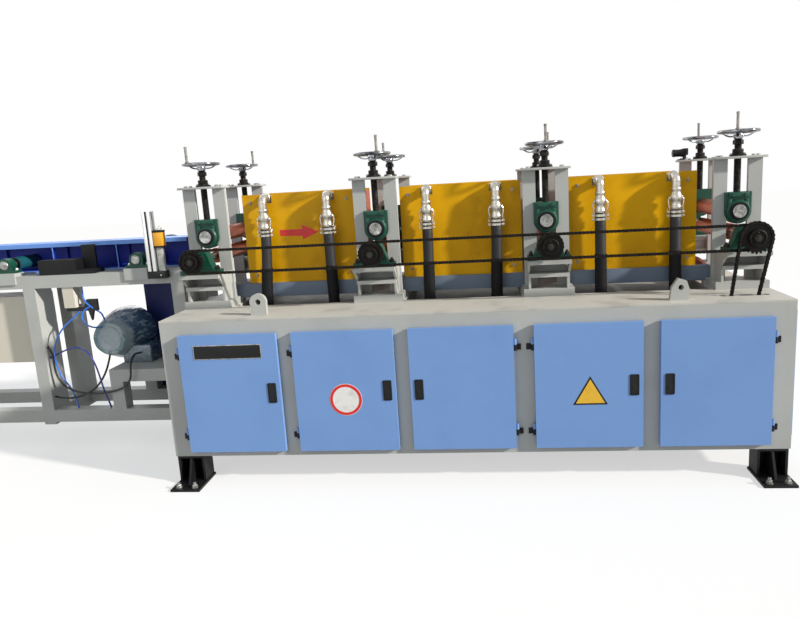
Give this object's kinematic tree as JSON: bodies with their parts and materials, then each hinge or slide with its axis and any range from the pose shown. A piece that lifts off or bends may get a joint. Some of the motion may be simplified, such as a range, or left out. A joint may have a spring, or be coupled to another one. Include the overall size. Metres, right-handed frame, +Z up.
{
  "type": "induction bar heating line",
  "caption": "Roll-fed induction heating line for steel bar: base cabinet with hinged doors, roll stations with screw take-ups, chain drive, inductor boxes and a feed bench",
  "frame": {"origin": "Centre of the bounding box on the floor under the anchor feet", "axes": "X runs along the line from the feed bench to the outlet, -Y is the door side, Z is up"},
  "size_m": [5.144, 1.464, 1.757],
  "materials": {
    "grey_paint": "satin",
    "blue_paint": "satin",
    "black_paint": "satin",
    "rail_blue": "satin",
    "yellow_panel": "gloss",
    "bakelite": "matte",
    "coil_block": "matte",
    "green_casting": "satin",
    "machined_steel": "machined",
    "chrome": "polished",
    "chain_steel": "oiled",
    "hose_rubber": "matte",
    "motor_paint": "satin",
    "aluminium": "anodised",
    "beige_paint": "satin",
    "navy_paint": "satin",
    "copper": "turned"
  },
  "bodies": {
    "machine": {"deck": "grey_paint", "front_posts": "grey_paint", "front_rails": "grey_paint", "cabinet_shell": "grey_paint", "end_cover": "blue_paint", "anchor_feet": "black_paint", "door_hinges": "black_paint", "lifting_lugs": "grey_paint", "stand_frames": "grey_paint", "stand_posts": "grey_paint", "stand_top_plates": "machined_steel", "pillow_blocks": "green_casting", "station_chains": "chain_steel", "drive_chain": "chain_steel", "drive_motor": "motor_paint", "box_rails": "rail_blue", "coil_blocks": "coil_block", "end_boards": "bakelite", "box_panels": "yellow_panel", "hose_fittings": "machined_steel", "hoses": "hose_rubber", "outlet_plate": "bakelite", "top_fitting": "black_paint", "bench_beams": "grey_paint", "bench_legs": "grey_paint", "bench_pillows": "green_casting", "feed_trough": "blue_paint", "motor_platform": "grey_paint", "bench_motor": "motor_paint", "bar_sensor": "aluminium", "guide_box": "black_paint", "air_unit": "beige_paint", "bench_back_panel": "navy_paint"},
    "door_1": {"door_1": "blue_paint"},
    "door_2": {"door_2": "blue_paint"},
    "door_3": {"door_3": "blue_paint"},
    "door_4": {"door_4": "blue_paint"},
    "door_5": {"door_5": "blue_paint"},
    "carriage_1": {"carriage_1": "green_casting"},
    "upper_roll_1": {"upper_roll_1": "copper"},
    "lower_roll_1": {"lower_roll_1": "copper"},
    "front_screw_1": {"front_screw_1": "chrome"},
    "rear_screw_1": {"rear_screw_1": "chrome"},
    "carriage_2": {"carriage_2": "green_casting"},
    "upper_roll_2": {"upper_roll_2": "copper"},
    "lower_roll_2": {"lower_roll_2": "copper"},
    "front_screw_2": {"front_screw_2": "chrome"},
    "rear_screw_2": {"rear_screw_2": "chrome"},
    "carriage_3": {"carriage_3": "green_casting"},
    "upper_roll_3": {"upper_roll_3": "copper"},
    "lower_roll_3": {"lower_roll_3": "copper"},
    "front_screw_3": {"front_screw_3": "chrome"},
    "rear_screw_3": {"rear_screw_3": "chrome"},
    "carriage_4": {"carriage_4": "green_casting"},
    "upper_roll_4": {"upper_roll_4": "copper"},
    "lower_roll_4": {"lower_roll_4": "copper"},
    "front_screw_4": {"front_screw_4": "chrome"},
    "rear_screw_4": {"rear_screw_4": "chrome"},
    "bench_roller_1": {"bench_roller_1": "machined_steel"},
    "bench_roller_2": {"bench_roller_2": "machined_steel"}
  },
  "joints": [
    {"name": "door_1_hinge", "type": "hinge", "parent": "machine", "child": "door_1", "pos_m": [-0.4482, -0.645, 0.4945], "axis": [0, 0, -1], "range_deg": [0, 90]},
    {"name": "door_2_hinge", "type": "hinge", "parent": "machine", "child": "door_2", "pos_m": [0.141, -0.645, 0.4945], "axis": [0, 0, -1], "range_deg": [0, 90]},
    {"name": "door_3_hinge", "type": "hinge", "parent": "machine", "child": "door_3", "pos_m": [1.2537, -0.645, 0.4945], "axis": [0, 0, 1], "range_deg": [0, 90]},
    {"name": "door_4_hinge", "type": "hinge", "parent": "machine", "child": "door_4", "pos_m": [1.335, -0.645, 0.4945], "axis": [0, 0, -1], "range_deg": [0, 90]},
    {"name": "door_5_hinge", "type": "hinge", "parent": "machine", "child": "door_5", "pos_m": [2.453, -0.645, 0.4945], "axis": [0, 0, 1], "range_deg": [0, 90]},
    {"name": "carriage_1_slide", "type": "slide", "parent": "machine", "child": "carriage_1", "axis": [0, 0, 1], "range_m": [-0.02, 0.04]},
    {"name": "front_screw_1_turn", "type": "hinge", "parent": "carriage_1", "child": "front_screw_1", "pos_m": [-0.411, -0.201, 1.543], "axis": [0, 0, 1], "range_deg": [-1210, 2410]},
    {"name": "rear_screw_1_turn", "type": "hinge", "parent": "carriage_1", "child": "rear_screw_1", "pos_m": [-0.411, 0.406, 1.543], "axis": [0, 0, 1], "range_deg": [-1210, 2410]},
    {"name": "upper_roll_1_spin", "type": "hinge", "parent": "carriage_1", "child": "upper_roll_1", "pos_m": [-0.411, 0.1025, 1.268], "axis": [0, 1, 0], "continuous": true},
    {"name": "lower_roll_1_spin", "type": "hinge", "parent": "machine", "child": "lower_roll_1", "pos_m": [-0.411, 0.1025, 1.155], "axis": [0, 1, 0], "continuous": true},
    {"name": "carriage_2_slide", "type": "slide", "parent": "machine", "child": "carriage_2", "axis": [0, 0, 1], "range_m": [-0.02, 0.04]},
    {"name": "front_screw_2_turn", "type": "hinge", "parent": "carriage_2", "child": "front_screw_2", "pos_m": [0.542, -0.201, 1.543], "axis": [0, 0, 1], "range_deg": [-1210, 2410]},
    {"name": "rear_screw_2_turn", "type": "hinge", "parent": "carriage_2", "child": "rear_screw_2", "pos_m": [0.542, 0.406, 1.543], "axis": [0, 0, 1], "range_deg": [-1210, 2410]},
    {"name": "upper_roll_2_spin", "type": "hinge", "parent": "carriage_2", "child": "upper_roll_2", "pos_m": [0.542, 0.1025, 1.268], "axis": [0, 1, 0], "continuous": true},
    {"name": "lower_roll_2_spin", "type": "hinge", "parent": "machine", "child": "lower_roll_2", "pos_m": [0.542, 0.1025, 1.155], "axis": [0, 1, 0], "continuous": true},
    {"name": "carriage_3_slide", "type": "slide", "parent": "machine", "child": "carriage_3", "axis": [0, 0, 1], "range_m": [-0.02, 0.04]},
    {"name": "front_screw_3_turn", "type": "hinge", "parent": "carriage_3", "child": "front_screw_3", "pos_m": [1.449, -0.201, 1.543], "axis": [0, 0, 1], "range_deg": [-1210, 2410]},
    {"name": "rear_screw_3_turn", "type": "hinge", "parent": "carriage_3", "child": "rear_screw_3", "pos_m": [1.449, 0.406, 1.543], "axis": [0, 0, 1], "range_deg": [-1210, 2410]},
    {"name": "upper_roll_3_spin", "type": "hinge", "parent": "carriage_3", "child": "upper_roll_3", "pos_m": [1.449, 0.1025, 1.268], "axis": [0, 1, 0], "continuous": true},
    {"name": "lower_roll_3_spin", "type": "hinge", "parent": "machine", "child": "lower_roll_3", "pos_m": [1.449, 0.1025, 1.155], "axis": [0, 1, 0], "continuous": true},
    {"name": "carriage_4_slide", "type": "slide", "parent": "machine", "child": "carriage_4", "axis": [0, 0, 1], "range_m": [-0.02, 0.04]},
    {"name": "front_screw_4_turn", "type": "hinge", "parent": "carriage_4", "child": "front_screw_4", "pos_m": [2.415, -0.201, 1.543], "axis": [0, 0, 1], "range_deg": [-1210, 2410]},
    {"name": "rear_screw_4_turn", "type": "hinge", "parent": "carriage_4", "child": "rear_screw_4", "pos_m": [2.415, 0.406, 1.543], "axis": [0, 0, 1], "range_deg": [-1210, 2410]},
    {"name": "upper_roll_4_spin", "type": "hinge", "parent": "carriage_4", "child": "upper_roll_4", "pos_m": [2.415, 0.1025, 1.268], "axis": [0, 1, 0], "continuous": true},
    {"name": "lower_roll_4_spin", "type": "hinge", "parent": "machine", "child": "lower_roll_4", "pos_m": [2.415, 0.1025, 1.155], "axis": [0, 1, 0], "continuous": true},
    {"name": "bench_roller_1_spin", "type": "hinge", "parent": "machine", "child": "bench_roller_1", "pos_m": [-0.912, 0.075, 1.147], "axis": [0, 1, 0], "continuous": true},
    {"name": "bench_roller_2_spin", "type": "hinge", "parent": "machine", "child": "bench_roller_2", "pos_m": [-1.742, 0.075, 1.147], "axis": [0, 1, 0], "continuous": true}
  ],
  "couplings": [
    {"joint": "front_screw_1_turn", "follows": "carriage_1_slide", "rad_per_m": 1047.2},
    {"joint": "rear_screw_1_turn", "follows": "carriage_1_slide", "rad_per_m": 1047.2},
    {"joint": "front_screw_2_turn", "follows": "carriage_2_slide", "rad_per_m": 1047.2},
    {"joint": "rear_screw_2_turn", "follows": "carriage_2_slide", "rad_per_m": 1047.2},
    {"joint": "front_screw_3_turn", "follows": "carriage_3_slide", "rad_per_m": 1047.2},
    {"joint": "rear_screw_3_turn", "follows": "carriage_3_slide", "rad_per_m": 1047.2},
    {"joint": "front_screw_4_turn", "follows": "carriage_4_slide", "rad_per_m": 1047.2},
    {"joint": "rear_screw_4_turn", "follows": "carriage_4_slide", "rad_per_m": 1047.2},
    {"joint": "lower_roll_1_spin", "follows": "lower_roll_4_spin", "ratio": 1},
    {"joint": "lower_roll_2_spin", "follows": "lower_roll_4_spin", "ratio": 1},
    {"joint": "lower_roll_3_spin", "follows": "lower_roll_4_spin", "ratio": 1}
  ]
}
